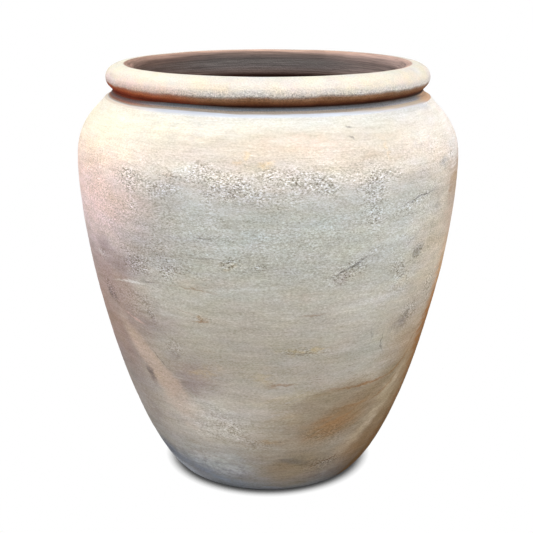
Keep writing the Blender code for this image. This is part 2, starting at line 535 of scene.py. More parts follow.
class Finish:
    def __init__(self, name):
        self.material = bpy.data.materials.new(name)
        self.material.use_nodes = True
        self.tree = self.material.node_tree
        self.shader = self.tree.nodes["Principled BSDF"]
        self.place = self.add("ShaderNodeTexCoord", out="Object")
        self.apart = self.add("ShaderNodeSeparateXYZ", feeds={0: self.place})
        level = self.vectors("MULTIPLY", {0: self.place, 1: (1, 1, 0)})
        self.radius = self.vectors("LENGTH", {0: level}, "Value")

    def add(self, kind, settings=None, feeds=None, out=0):
        node = self.tree.nodes.new(kind)
        for name, value in (settings or {}).items():
            if name == "stops":
                self.setStops(node.color_ramp, value)
            else:
                setattr(node, name, value)
        for name, value in (feeds or {}).items():
            if isinstance(value, Wire):
                self.tree.links.new(value.socket, node.inputs[name])
            else:
                node.inputs[name].default_value = value
        return Wire(self, node.outputs[out])

    def setStops(self, ramp, stops):
        while len(ramp.elements) < len(stops):
            ramp.elements.new(1)
        for element, (position, colour) in zip(ramp.elements, stops):
            element.position = position
            element.color = colour

    def along(self, axis):
        return Wire(self, self.apart.socket.node.outputs[axis])

    def vectors(self, operation, feeds, out=0):
        return self.add("ShaderNodeVectorMath", {"operation": operation}, feeds, out)

    def mix(self, amount, under, over, blend="MIX"):
        settings = {"data_type": "RGBA", "blend_type": blend}
        return self.add("ShaderNodeMix", settings, {0: amount, 6: under, 7: over}, 2)

    def ramp(self, amount, stops):
        return self.add("ShaderNodeValToRGB", {"stops": stops}, {0: amount})

    def step(self, value, low, high):
        # 0 below low and 1 above high, or the other way round where low is the higher
        settings = {"interpolation_type": "SMOOTHSTEP"}
        return self.add("ShaderNodeMapRange", settings, {0: value, 1: low, 2: high})

    def grain(self, pattern, out="Fac", place=None):
        # noise about 0, from a pattern of waves per metre along the wall and up it, detail and roughness
        sideways, upwards, detail, roughness = pattern
        scale = (sideways, sideways, upwards)
        spread = self.add("ShaderNodeMapping", feeds={0: place or self.place, "Scale": scale})
        feeds = {"Vector": spread, "Scale": 1.0, "Detail": detail, "Roughness": roughness}
        noiseOut = self.add("ShaderNodeTexNoise", feeds=feeds, out=out)
        if out == "Color":
            return self.vectors("SUBTRACT", {0: noiseOut, 1: (0.5, 0.5, 0.5)})
        return noiseOut - 0.5

    def attribute(self, name):
        return self.add("ShaderNodeAttribute", {"attribute_name": name}, out="Fac")

    def warped(self, pattern, sideways, upwards):
        # coordinates pushed about by noise, by up to about a third of these reaches
        push = self.grain(pattern, "Color")
        return self.vectors("MULTIPLY_ADD", {0: push, 1: (sideways, sideways, upwards), 2: self.place})

    def patch(self, place, turn, level, halfWidth, halfHeight, climb, soft, curl=0.0):
        # a washed place on the wall: 1 in its middle, 0 outside. A curl turns its ends down.
        angle = math.radians(turn)
        reach = onWall(stationAt(level)).x
        edge = 1 + soft / 2
        feeds = {
            0: place,
            "Location": (reach * math.sin(angle), -reach * math.cos(angle), level),
            "Rotation": (0, -math.radians(climb), angle),
            "Scale": (halfWidth * edge, patchDepth * edge, halfHeight * edge),
        }
        local = self.add("ShaderNodeMapping", {"vector_type": "TEXTURE"}, feeds)
        if curl:
            along = self.vectors("DOT_PRODUCT", {0: local, 1: (1, 0, 0)}, "Value")
            drop = self.vectors("SCALE", {0: (0, 0, curl * edge), "Scale": along * along})
            local = self.vectors("ADD", {0: local, 1: drop})
        near = self.add("ShaderNodeTexGradient", {"gradient_type": "SPHERICAL"}, {0: local}, "Fac")
        return self.step(near, 0.0, 1 - (1 - soft) / edge)

    def tinted(self, colour, hues, amount):
        # the same colour with its red, green and blue varied apart
        tint = self.vectors("MULTIPLY_ADD", {0: hues, 1: (amount, amount, amount), 2: (1, 1, 1)})
        return self.vectors("MULTIPLY", {0: colour, 1: tint})

    def warmed(self, colour, warmth):
        # the same colour turned warmer, or cooler where the warmth is below 0
        shift = self.vectors("SCALE", {0: warmTurn, "Scale": warmth})
        tint = self.vectors("ADD", {0: shift, 1: (1, 1, 1)})
        return self.vectors("MULTIPLY", {0: colour, 1: tint})

    def scaled(self, colour, amount):
        return self.vectors("SCALE", {0: colour, "Scale": amount})

    def maths(self, operation, first, second=0.0):
        return self.add("ShaderNodeMath", {"operation": operation}, {0: first, 1: second})

    def limited(self, value):
        return self.add("ShaderNodeMath", {"operation": "MINIMUM", "use_clamp": True}, {0: value, 1: 1.0})

    def set(self, name, value):
        socket = self.shader.inputs[name]
        if isinstance(value, Wire):
            self.tree.links.new(value.socket, socket)
        else:
            socket.default_value = value

    def dress(self, colour, roughness, gloss, relief):
        # the relief is in millimetres
        self.set("Base Color", colour)
        self.set("Roughness", roughness)
        self.set("Specular IOR Level", gloss)
        feeds = {"Strength": 1.0, "Distance": 0.001, "Height": relief}
        self.set("Normal", self.add("ShaderNodeBump", feeds=feeds))
        return self.material


def swayed(value, patterns, amounts):
    # a value moved by each pattern's own amount
    for pattern, amount in zip(patterns, amounts):
        value = value + pattern * amount
    return value


# The finish. Colours are as they show on the screen, 0 to 255, and heights are in metres.
tones = {
    "ivory": (240, 228, 208),
    "chalk": (240, 238, 234),
    "ash": (206, 208, 206),
    "ochre": (236, 200, 136),
    "straw": (196, 176, 134),
    "beige": (190, 173, 148),
    "sand": (178, 152, 120),
    "peach": (200, 178, 161),
    "rose": (232, 196, 184),
    "moss": (192, 198, 188),
    "mauve": (152, 134, 132),
    "dusk": (122, 108, 106),
    "slate": (140, 148, 164),
    "rust": (148, 112, 74),
    "drab": (145, 127, 100),
    "bark": (132, 108, 92),
    "umber": (108, 80, 54),
    "smoke": (96, 90, 86),
}

wallByHeight = [
    (0.000, (140, 142, 146)),
    (0.015, (136, 137, 138)),
    (0.030, (141, 143, 148)),
    (0.050, (154, 155, 156)),
    (0.075, (167, 161, 153)),
    (0.110, (188, 180, 169)),
    (0.140, (191, 183, 172)),
    (0.165, (192, 183, 171)),
    (0.230, (181, 173, 160)),
    (0.310, (196, 190, 177)),
    (0.380, (201, 200, 190)),
    (0.415, (206, 206, 199)),
    (0.450, (202, 202, 195)),
    (0.475, (216, 211, 204)),
    (0.490, (230, 222, 210)),
    (0.505, (223, 211, 198)),
    (0.530, (203, 194, 180)),
    (0.546, (206, 204, 195)),
    (0.552, (212, 210, 202)),
    # the blue-white top stop is a painted highlight on the ledge
    (0.554, (201, 207, 217)),
]
leftByHeight = [
    # the two pale stops at the foot are a painted reflection of the white floor
    (0.000, (206, 209, 216)),
    (0.012, (190, 193, 200)),
    (0.025, (136, 139, 147)),
    (0.040, (118, 120, 126)),
    (0.060, (154, 150, 145)),
    (0.090, (160, 153, 146)),
    (0.130, (166, 155, 147)),
    (0.165, (154, 143, 137)),
    (0.215, (162, 142, 134)),
    (0.260, (166, 142, 130)),
    (0.310, (178, 155, 146)),
    (0.345, (178, 158, 153)),
    (0.380, (212, 193, 189)),
    (0.415, (238, 213, 208)),
    (0.460, (246, 218, 207)),
    (0.500, (248, 228, 208)),
    (0.530, (229, 221, 200)),
    (0.554, (233, 225, 209)),
]
rightByHeight = [
    (0.000, (106, 96, 88)),
    (0.040, (120, 103, 86)),
    (0.075, (130, 108, 82)),
    (0.130, (144, 120, 90)),
    (0.190, (158, 135, 105)),
    (0.240, (174, 152, 126)),
    (0.300, (194, 182, 166)),
    (0.345, (208, 196, 178)),
    (0.380, (206, 193, 175)),
    (0.450, (210, 200, 186)),
    (0.500, (234, 222, 210)),
    (0.545, (214, 208, 200)),
    (0.551, (204, 204, 206)),
]
flashByHeight = [
    (0.000, (102, 76, 48)),
    (0.040, (109, 81, 50)),
    (0.075, (116, 86, 52)),
    (0.140, (128, 96, 62)),
    (0.225, (143, 100, 56)),
    (0.267, (162, 110, 60)),
    (0.310, (194, 152, 110)),
    (0.345, (210, 181, 152)),
    (0.395, (204, 184, 166)),
    (0.435, (194, 174, 156)),
    (0.465, (186, 160, 134)),
    (0.485, (212, 196, 183)),
    (0.500, (236, 226, 218)),
    (0.545, (226, 220, 212)),
]

# How far round to the right the flash starts at each height, as the sine of the turn
flashStart = [
    (0.000, 0.72),
    (0.035, 0.775),
    (0.060, 0.84),
    (0.085, 0.87),
    (0.115, 0.895),
    (0.150, 0.92),
    (0.195, 0.93),
    (0.225, 0.915),
    (0.260, 0.925),
    (0.300, 0.945),
    (0.340, 0.94),
    (0.390, 0.94),
    (0.425, 0.925),
    (0.450, 0.935),
    (0.480, 0.92),
    (0.530, 0.95),
]

# Stains and washed places, each laid over those before it: turn, height, half width, half height,
# climb to the right in degrees, tone, amount and edge
washPlaces = [
    (-31, 0.536, 0.100, 0.014, 2, "ivory", 0.45, "ragged"),
    (11, 0.524, 0.060, 0.012, -2, "rose", 0.25, "ragged"),
    (-2, 0.519, 0.050, 0.010, -2, "sand", 0.14, "ragged"),
    (48, 0.515, 0.040, 0.016, 0, "ivory", 0.45, "ragged"),
    (38, 0.500, 0.032, 0.005, -5, "peach", 0.30, "ragged"),
    (34, 0.512, 0.005, 0.018, 10, "ochre", 0.25, "ragged"),
    (0, 0.503, 0.011, 0.004, 3, "ochre", 0.60, "ragged"),
    (-6, 0.513, 0.007, 0.005, 0, "ochre", 0.40, "ragged"),
    (-9, 0.506, 0.006, 0.004, 0, "ochre", 0.30, "ragged"),
    (14, 0.494, 0.020, 0.005, -3, "sand", 0.30, "ragged"),
    (-25, 0.483, 0.024, 0.007, -4, "sand", 0.50, "ragged"),
    (-21, 0.491, 0.018, 0.012, 4, "chalk", 0.35, "even"),
    (-40, 0.476, 0.030, 0.012, 6, "chalk", 0.25, "ragged"),
    (-40, 0.442, 0.010, 0.006, 8, "chalk", 0.55, "ragged"),
    (-46, 0.430, 0.080, 0.030, 4, "rose", 0.30, "even"),
    (-33, 0.450, 0.050, 0.016, 6, "mauve", 0.18, "even"),
    (-36, 0.388, 0.080, 0.036, 4, "mauve", 0.34, "even"),
    (-30, 0.425, 0.050, 0.022, 6, "mauve", 0.14, "even"),
    (60, 0.482, 0.014, 0.009, 0, "slate", 0.35, "even"),
    (44, 0.474, 0.040, 0.010, 0, "mauve", 0.16, "even"),
    (-56, 0.372, 0.022, 0.022, -40, "mauve", 0.45, "even"),
    (-46, 0.350, 0.040, 0.016, 4, "mauve", 0.45, "even"),
    (-58, 0.358, 0.010, 0.010, 0, "chalk", 0.35, "ragged"),
    (-36, 0.338, 0.013, 0.0022, 4, "smoke", 0.45, "even"),
    (-57, 0.300, 0.010, 0.016, 60, "dusk", 0.80, "ragged"),
    (-37, 0.302, 0.018, 0.014, 0, "dusk", 0.14, "even"),
    (-49, 0.283, 0.014, 0.010, 0, "dusk", 0.18, "even"),
    (-37, 0.286, 0.006, 0.013, 30, "dusk", 0.40, "ragged"),
    (-38, 0.272, 0.060, 0.020, 10, "mauve", 0.40, "even"),
    (-53, 0.240, 0.012, 0.050, -30, "mauve", 0.30, "ragged"),
    (-27, 0.202, 0.046, 0.036, 14, "mauve", 0.60, "even"),
    (-28, 0.188, 0.022, 0.014, 30, "dusk", 0.25, "even"),
    (-22, 0.212, 0.018, 0.007, 8, "sand", 0.40, "ragged"),
    (-19, 0.217, 0.022, 0.012, 8, "straw", 0.28, "ragged"),
    (-41, 0.206, 0.086, 0.020, -48, "peach", 0.70, "crisp"),
    (-36, 0.160, 0.050, 0.020, -48, "peach", 0.45, "even"),
    (-45, 0.191, 0.006, 0.017, 10, "dusk", 0.80, "even"),
    (-31, 0.236, 0.006, 0.006, 0, "dusk", 0.45, "ragged"),
    (-53, 0.120, 0.020, 0.030, -30, "dusk", 0.35, "ragged"),
    (-34, 0.135, 0.060, 0.012, -50, "peach", 0.25, "ragged"),
    (-20, 0.134, 0.060, 0.036, 0, "chalk", 0.22, "ragged"),
    (-12, 0.118, 0.024, 0.012, -45, "chalk", 0.30, "ragged"),
    (-23, 0.056, 0.070, 0.024, -8, "ash", 0.46, "ragged"),
    (-24, 0.165, 0.036, 0.014, 0, "ash", 0.25, "even"),
    (-48, 0.042, 0.044, 0.010, -30, "slate", 0.30, "ragged"),
    (-30, 0.026, 0.050, 0.010, -14, "slate", 0.60, "ragged"),
    (-14, 0.016, 0.044, 0.009, -6, "slate", 0.55, "ragged"),
    (2, 0.008, 0.030, 0.006, 0, "slate", 0.50, "ragged"),
    (-7, 0.410, 0.036, 0.024, 0, "moss", 0.30, "ragged"),
    (14, 0.424, 0.050, 0.028, 0, "moss", 0.35, "ragged"),
    (-2, 0.462, 0.030, 0.008, 0, "slate", 0.14, "ragged"),
    (9, 0.329, 0.030, 0.010, 0, "peach", 0.22, "ragged"),
    (-20, 0.345, 0.060, 0.010, 4, "peach", 0.20, "ragged"),
    (-19, 0.298, 0.010, 0.005, 5, "sand", 0.65, "ragged"),
    (-10, 0.374, 0.012, 0.006, 0, "straw", 0.55, "ragged"),
    (-2, 0.214, 0.020, 0.014, 0, "straw", 0.40, "ragged"),
    (2, 0.203, 0.013, 0.006, 0, "rust", 0.45, "ragged"),
    (12, 0.253, 0.036, 0.006, -2, "straw", 0.70, "ragged"),
    (48, 0.369, 0.013, 0.009, 30, "smoke", 0.45, "even"),
    (56, 0.429, 0.010, 0.009, 10, "smoke", 0.30, "even"),
    (23, 0.354, 0.026, 0.009, 26, "mauve", 0.30, "ragged"),
    (32, 0.378, 0.070, 0.022, 10, "ash", 0.35, "even"),
    (46, 0.268, 0.028, 0.010, 34, "smoke", 0.45, "ragged"),
    (40, 0.330, 0.060, 0.030, 30, "ash", 0.30, "ragged"),
    (29, 0.312, 0.050, 0.022, 6, "chalk", 0.15, "even"),
    (45, 0.402, 0.026, 0.016, 0, "ivory", 0.20, "even"),
    (41, 0.490, 0.034, 0.008, 0, "chalk", 0.20, "even"),
    (29, 0.505, 0.016, 0.006, 0, "sand", 0.25, "even"),
    (34, 0.240, 0.040, 0.026, 10, "moss", 0.25, "even"),
    (28, 0.134, 0.130, 0.060, 14, "drab", 0.85, "even"),
    (14, 0.052, 0.080, 0.044, 8, "drab", 0.85, "even"),
    (40, 0.168, 0.066, 0.024, 26, "drab", 0.80, "even"),
    (21, 0.174, 0.062, 0.020, 10, "drab", 0.55, "even"),
    (8, 0.180, 0.050, 0.012, 6, "straw", 0.30, "brushed"),
    (16, 0.046, 0.080, 0.026, 2, "umber", 0.12, "even"),
    (27, 0.126, 0.054, 0.026, 18, "rust", 0.45, "even"),
    (26, 0.124, 0.040, 0.022, 20, "rust", 0.58, "brushed"),
    (34, 0.150, 0.050, 0.012, 26, "rust", 0.20, "brushed"),
    (44, 0.068, 0.050, 0.030, 16, "rust", 0.24, "even"),
    (47, 0.118, 0.064, 0.013, 46, "beige", 0.60, "even"),
    (52, 0.168, 0.040, 0.010, 52, "beige", 0.60, "even"),
    (38, 0.080, 0.030, 0.012, 24, "beige", 0.30, "even"),
    (11, 0.067, 0.024, 0.008, 2, "smoke", 0.58, "even"),
    (19, 0.060, 0.020, 0.005, 4, "smoke", 0.45, "ragged"),
    (0, 0.104, 0.018, 0.007, 0, "sand", 0.60, "ragged"),
    (6, 0.146, 0.030, 0.012, 0, "sand", 0.30, "brushed"),
    (30, 0.026, 0.050, 0.012, 10, "umber", 0.35, "ragged"),
    (120, 0.150, 0.090, 0.040, -24, "drab", 0.60, "brushed"),
    (165, 0.120, 0.060, 0.018, 16, "rust", 0.50, "ragged"),
    (190, 0.340, 0.080, 0.024, -10, "mauve", 0.45, "ragged"),
    (-140, 0.210, 0.080, 0.016, 42, "peach", 0.60, "crisp"),
    (-150, 0.180, 0.034, 0.012, 44, "dusk", 0.45, "even"),
    (150, 0.505, 0.040, 0.008, 3, "ochre", 0.40, "ragged"),
    (-120, 0.480, 0.080, 0.014, 0, "chalk", 0.40, "ragged"),
    (-165, 0.300, 0.040, 0.005, 0, "straw", 0.50, "ragged"),
    (140, 0.030, 0.090, 0.014, 4, "slate", 0.60, "ragged"),
    (-100, 0.060, 0.070, 0.030, 0, "smoke", 0.30, "ragged"),
]

# Brush strokes and scratches: turn, height, half length, half width, climb, tone, amount, curl
brushStrokes = [
    (35, 0.185, 0.056, 0.0024, 0, "rust", 0.75, -1.2),
    (54, 0.198, 0.030, 0.0026, 36, "rust", 0.75, -2.5),
    (22, 0.183, 0.034, 0.0030, 4, "drab", 0.60, 0.5),
    (58, 0.232, 0.024, 0.0020, 56, "rust", 0.45, -1.0),
    (32, 0.152, 0.034, 0.0026, 2, "rust", 0.50, -1.0),
    (48, 0.164, 0.030, 0.0024, 34, "rust", 0.55, -2.0),
    (28, 0.133, 0.044, 0.0022, 26, "rust", 0.45, -2.0),
    (30, 0.112, 0.044, 0.0022, 24, "drab", 0.50, -2.0),
    (36, 0.137, 0.040, 0.0018, 30, "umber", 0.30, -2.0),
    (39, 0.246, 0.018, 0.0012, 100, "smoke", 0.60, 3.0),
    (34, 0.262, 0.016, 0.0010, 94, "smoke", 0.35, -2.0),
    (-17, 0.408, 0.013, 0.0013, -2, "smoke", 0.55, 0.0),
    (-23, 0.404, 0.050, 0.0012, -4, "dusk", 0.22, 0.0),
    (-14, 0.382, 0.060, 0.0012, -3, "dusk", 0.22, 1.0),
    (-22, 0.362, 0.050, 0.0014, -5, "dusk", 0.25, 1.0),
    (-22, 0.338, 0.042, 0.0012, -4, "rust", 0.40, 1.0),
    (-45, 0.331, 0.038, 0.0018, 6, "chalk", 0.55, 1.5),
    (-20, 0.293, 0.013, 0.0013, 3, "rust", 0.70, 0.5),
    (-25, 0.304, 0.016, 0.0012, -14, "rust", 0.35, 0.0),
    (-46, 0.276, 0.022, 0.0022, -14, "rose", 0.50, 0.0),
    (-38, 0.222, 0.024, 0.0010, -46, "smoke", 0.55, 0.5),
    (12, 0.249, 0.036, 0.0014, -2, "umber", 0.35, 0.0),
    (13, 0.305, 0.018, 0.0014, 4, "rust", 0.40, 0.0),
    (5, 0.202, 0.016, 0.0018, 0, "rust", 0.60, 0.0),
    (46, 0.446, 0.036, 0.0012, 10, "smoke", 0.65, 3.0),
    (23, 0.367, 0.030, 0.0014, 28, "smoke", 0.70, 0.0),
    (45, 0.392, 0.030, 0.0014, 36, "dusk", 0.35, -1.0),
    (27, 0.058, 0.013, 0.0015, 4, "umber", 0.90, -2.0),
    (22, 0.052, 0.010, 0.0012, 24, "umber", 0.70, 0.0),
    (31, 0.062, 0.008, 0.0012, 34, "umber", 0.70, 0.0),
    (24, 0.540, 0.005, 0.0014, 0, "smoke", 0.60, 0.0),
    (24, 0.531, 0.006, 0.0012, -20, "smoke", 0.50, 2.0),
    (140, 0.240, 0.050, 0.0018, 20, "rust", 0.50, -3.0),
    (-120, 0.330, 0.040, 0.0014, -4, "smoke", 0.50, 1.0),
    (176, 0.420, 0.040, 0.0013, 8, "sand", 0.50, 0.0),
    (-95, 0.200, 0.040, 0.0018, 30, "rust", 0.40, 2.0),
]


def rampUp(finish, height, stops):
    low, top = stops[0][0], stops[-1][0]
    share = (height - low) / (top - low)
    return finish.ramp(share, [((level - low) / (top - low), colour) for level, colour in stops])


def byHeight(finish, height, stops):
    return rampUp(finish, height, [(level, shade(*colour)) for level, colour in stops])


def numberByHeight(finish, height, stops):
    return rampUp(finish, height, [(level, (number, number, number, 1)) for level, number in stops])


# The wash. Patterns are waves per metre along the wall and up it, detail and roughness.
# An edge is two values: where a mask is 0 and where it is 1. A sway moves it by each named pattern.
washSet = {
    "broad": (9, 9, 4, 0.55),
    "push": (34, 52, 4, 0.65),
    "pushSideways": 0.050,
    "pushUpwards": 0.024,
    "finePush": (90, 120, 3, 0.6),
    "finePushReach": 0.010,
    "mottle": (70, 130, 4, 0.65),
    "streaks": (16, 190, 4, 0.6),
    "threads": (46, 520, 3, 0.65),
    "strokes": (15, 170, 4, 0.65),
    "strokeTurn": 38,
    "strokeClimb": 24,
    "levelBands": (0.550, 0.520),  # above this the pale bands at the neck stay level
    "broadWander": 0.05,
    "streakWander": 0.02,
    "sideSway": 0.35,  # by broad
    "leftEdge": (-0.42, -0.90),
    "rightEdge": (0.58, 0.90),
    "lowPart": (0.20, 0.03),
    "rightReachLow": 0.15,  # how much further round the right side's colours reach there
    "flashStartSway": 0.04,  # by broad
    "flashSway": (0.03, 0.08, 0.10, 0.06),  # by broad, streaks, mottle and strokes
    "flashEdge": (-0.060, 0.010),
    "flashAmount": 0.97,
    "flashLostBehind": 0.80,
    "behindSway": (0.22, 0.10),  # by broad and streaks
    "behindEdge": (0.00, 0.16),
    "rearStart": 0.03,  # from here on round to the back the flash's colours come down
    "flashHeightSway": (0.08, 0.03, 0.05, 0.8),  # by broad, streaks, mottle and rear
    "wornEdge": (-0.14, 0.10),
    "brushedEdge": (-0.14, 0.06),
    "brokenEdge": (-0.22, 0.00),
    "strokeSoftness": 0.8,
    "strokeBreaks": 0.6,  # how much of a stroke is lost where it is broken
}

# The wash's grain: how much each pattern darkens or lights the colour
grainSet = {
    "level": 1.02,
    "darkest": 0.25,
    "clouds": (20, 72, 5, 0.62),
    "cloudDepth": 0.56,
    "cloudsAtTop": 0.28,  # the share of that depth on the pale band under the neck
    "topPart": (0.53, 0.49),
    "warmth": (18, 50, 3, 0.55),
    "warmthDepth": 0.18,
    "darkWarmth": 0.20,  # what is darker is a little warmer
    "hues": (30, 60, 3, 0.50),
    "hueDepth": 0.06,
    "streakDepth": 0.30,
    "threadDepth": 0.42,
    "strokeDepth": 0.55,
    "brushedPart": (36, 0.130, 0.130, 0.070, 20, 0.9),  # turn, height, half sizes, climb and softness
    "dust": (300, 740, 3, 0.72),
    "dustDepth": 1.25,
    "dustDepthAtTop": 0.70,
    "sandyDustDepth": 3.6,
    "lumps": (300, 430, 2, 0.6),
    "lumpDepth": 0.14,
    "sandyLumpDepth": 0.30,
    "creases": (185, 260, 2, 0.6),
    "creaseWidth": 0.055,
    # sand is darkened along its creases: painted shade in them
    "sandyCreaseDepth": 0.55,
    "sandLift": 0.07,  # the sand is a little paler than the wash round it
    "specks": (340, 460, 2, 0.6),
    # dark specks in the sand are partly dark grit and partly painted shade in its pits, and pale specks
    # partly pale grains and partly painted glints
    "darkSpecks": (-0.16, -0.24),
    "darkSpeckAmount": 0.30,
    "paleSpecks": (0.10, 0.20),
    "paleSpeckAmount": 0.16,
    # hollows are darkened: partly dirt, partly painted shade
    "hollowAmount": 0.14,
    "roughness": 0.86,
    "dustRoughness": 0.2,
    "gloss": 0.10,
    # relief in millimetres
    "lumpLift": 0.15,
    "sandyLumpLift": 0.7,
    "dustLift": 0.15,
    "sandyDustLift": 0.3,
    "creaseDrop": 0.20,
    "streakLift": 0.5,
    "threadLift": 0.25,
    "strokeLift": 0.5,
}


def limewash():
    finish = Finish("limewash")
    broad = finish.grain(washSet["broad"])
    warp = finish.warped(washSet["push"], washSet["pushSideways"], washSet["pushUpwards"])
    fineWarp = finish.warped(washSet["finePush"], washSet["finePushReach"], washSet["finePushReach"])
    streaks = finish.grain(washSet["streaks"])
    threads = finish.grain(washSet["threads"])
    turning = (0, -math.radians(washSet["strokeClimb"]), math.radians(washSet["strokeTurn"]))
    brushed = {0: finish.place, "Rotation": turning}
    strokePlace = finish.add("ShaderNodeMapping", {"vector_type": "TEXTURE"}, brushed)
    strokes = finish.grain(washSet["strokes"], place=strokePlace)
    upwards = finish.along("Z")
    sideways = finish.along("X") / finish.radius
    settled = finish.step(upwards, *washSet["levelBands"])
    height = upwards + (broad * washSet["broadWander"] + streaks * washSet["streakWander"]) * settled

    uneven = broad * washSet["sideSway"]
    low = finish.step(upwards, *washSet["lowPart"])
    left = finish.step(sideways + uneven, *washSet["leftEdge"])
    right = finish.step(sideways + uneven + low * washSet["rightReachLow"], *washSet["rightEdge"])
    past = sideways - numberByHeight(finish, upwards + broad * washSet["flashStartSway"], flashStart)
    mottle = finish.grain(washSet["mottle"])
    past = swayed(past, (broad, streaks, mottle, strokes), washSet["flashSway"])
    flash = finish.step(past, *washSet["flashEdge"])
    backwards = finish.along("Y")
    behind = finish.step(swayed(backwards, (broad, streaks), washSet["behindSway"]), *washSet["behindEdge"])
    rear = finish.maths("MAXIMUM", backwards + washSet["rearStart"])
    colour = byHeight(finish, height, wallByHeight)
    colour = finish.mix(left, colour, byHeight(finish, height, leftByHeight))
    colour = finish.mix(right, colour, byHeight(finish, height, rightByHeight))

    broken = finish.step(mottle, *washSet["brokenEdge"])
    edges = {  # each: the coordinates it is laid on, its softness, and where it is worn away
        "ragged": (warp, 0.9, finish.step(mottle, *washSet["wornEdge"])),
        "brushed": (warp, 0.9, finish.step(strokes, *washSet["brushedEdge"])),
        "even": (warp, 0.85, 1.0),
        "crisp": (fineWarp, 0.4, 1.0),
    }
    for turn, level, halfWidth, halfHeight, climb, tone, amount, edge in washPlaces:
        place, soft, wear = edges[edge]
        mask = finish.patch(place, turn, level, halfWidth, halfHeight, climb, soft)
        colour = finish.mix(mask * wear * amount, colour, shade(*tones[tone]))
    flash = flash * (washSet["flashAmount"] - behind * washSet["flashLostBehind"])
    flashHeight = swayed(height, (broad, streaks, mottle, rear), washSet["flashHeightSway"])
    colour = finish.mix(flash, colour, byHeight(finish, flashHeight, flashByHeight))
    breaks = washSet["strokeBreaks"]
    soft = washSet["strokeSoftness"]
    for turn, level, halfLength, halfStroke, climb, tone, amount, curl in brushStrokes:
        mask = finish.patch(fineWarp, turn, level, halfLength, halfStroke, climb, soft, curl)
        colour = finish.mix(mask * ((1 - breaks) + broken * breaks) * amount, colour, shade(*tones[tone]))
    return grained(finish, colour, warp, upwards, streaks, threads, strokes)


def grained(finish, colour, warp, upwards, streaks, threads, strokes):
    # clouds, dust, threads and sand over the wash's colours
    sandy = finish.attribute("sandy")
    hollows = finish.attribute("hollows")
    clouds = finish.grain(grainSet["clouds"])
    dust = finish.grain(grainSet["dust"])
    lumps = finish.grain(grainSet["lumps"])
    nearCrease = finish.maths("ABSOLUTE", finish.grain(grainSet["creases"]))
    creases = finish.step(nearCrease, grainSet["creaseWidth"], 0.0)
    specks = finish.grain(grainSet["specks"])
    plain = finish.step(upwards, *grainSet["topPart"])
    brushedPart = finish.patch(warp, *grainSet["brushedPart"])
    atTop = grainSet["dustDepthAtTop"]
    dustDepth = atTop + plain * (grainSet["dustDepth"] - atTop)
    cloudShare = grainSet["cloudsAtTop"] + plain * (1 - grainSet["cloudsAtTop"])
    light = grainSet["level"] + clouds * cloudShare * grainSet["cloudDepth"]
    light = light + streaks * grainSet["streakDepth"]
    light = light + threads * grainSet["threadDepth"] + strokes * brushedPart * grainSet["strokeDepth"]
    light = light + dust * (dustDepth + sandy * grainSet["sandyDustDepth"])
    light = light + lumps * (grainSet["lumpDepth"] + sandy * grainSet["sandyLumpDepth"])
    # sand is darker along its creases: painted shade in them
    light = light + sandy * (grainSet["sandLift"] - creases * grainSet["sandyCreaseDepth"])
    colour = finish.tinted(colour, finish.grain(grainSet["hues"], "Color"), grainSet["hueDepth"])
    warmth = finish.grain(grainSet["warmth"]) * grainSet["warmthDepth"]
    colour = finish.warmed(colour, warmth + (1.0 - light) * grainSet["darkWarmth"])
    colour = finish.scaled(colour, finish.maths("MAXIMUM", light, grainSet["darkest"]))

    # dark specks and darkened hollows are partly dirt and partly painted shade; pale specks are partly pale
    # grains and partly painted glints
    darkSpecks = finish.step(specks, *grainSet["darkSpecks"]) * sandy * grainSet["darkSpeckAmount"]
    paleSpecks = finish.step(specks, *grainSet["paleSpecks"]) * sandy * grainSet["paleSpeckAmount"]
    colour = finish.mix(darkSpecks, colour, shade(*tones["bark"]))
    colour = finish.mix(paleSpecks, colour, shade(*tones["chalk"]))
    colour = finish.mix(finish.limited(hollows * grainSet["hollowAmount"]), colour, shade(*tones["bark"]))
    roughness = grainSet["roughness"] + dust * grainSet["dustRoughness"]
    relief = lumps * (grainSet["lumpLift"] + sandy * grainSet["sandyLumpLift"])
    relief = relief + dust * (grainSet["dustLift"] + sandy * grainSet["sandyDustLift"])
    relief = relief - creases * sandy * grainSet["creaseDrop"]
    relief = relief + streaks * grainSet["streakLift"] + threads * grainSet["threadLift"]
    relief = relief + strokes * brushedPart * grainSet["strokeLift"]
    return finish.dress(colour, roughness, grainSet["gloss"], relief)


# The rim's colours by height: under the roll, up to about 0.575, the dark brown is partly the clay and partly
# painted shade
rimByHeight = [
    (0.5620, (56, 30, 20)),
    (0.5660, (80, 42, 26)),
    (0.5695, (118, 75, 48)),
    (0.5720, (138, 97, 69)),
    (0.5750, (150, 115, 88)),
    (0.5773, (178, 163, 152)),
    (0.5790, (224, 216, 208)),
    (0.5823, (219, 211, 202)),
    (0.5865, (224, 213, 200)),
    (0.5920, (212, 204, 191)),
    (0.5970, (199, 193, 181)),
    (0.6000, (190, 187, 177)),
]
# the same on the left, where the dark under the roll is redder: partly red-brown clay, partly painted shade
rimLeftByHeight = [
    (0.5620, (120, 50, 30)),
    (0.5660, (124, 54, 32)),
    (0.5698, (144, 66, 38)),
    (0.5729, (170, 96, 64)),
    (0.5757, (172, 118, 96)),
    (0.5784, (203, 178, 166)),
    (0.5810, (217, 192, 181)),
    (0.5859, (230, 211, 202)),
    (0.5900, (221, 208, 194)),
    (0.5960, (212, 206, 190)),
    (0.6000, (196, 192, 178)),
]
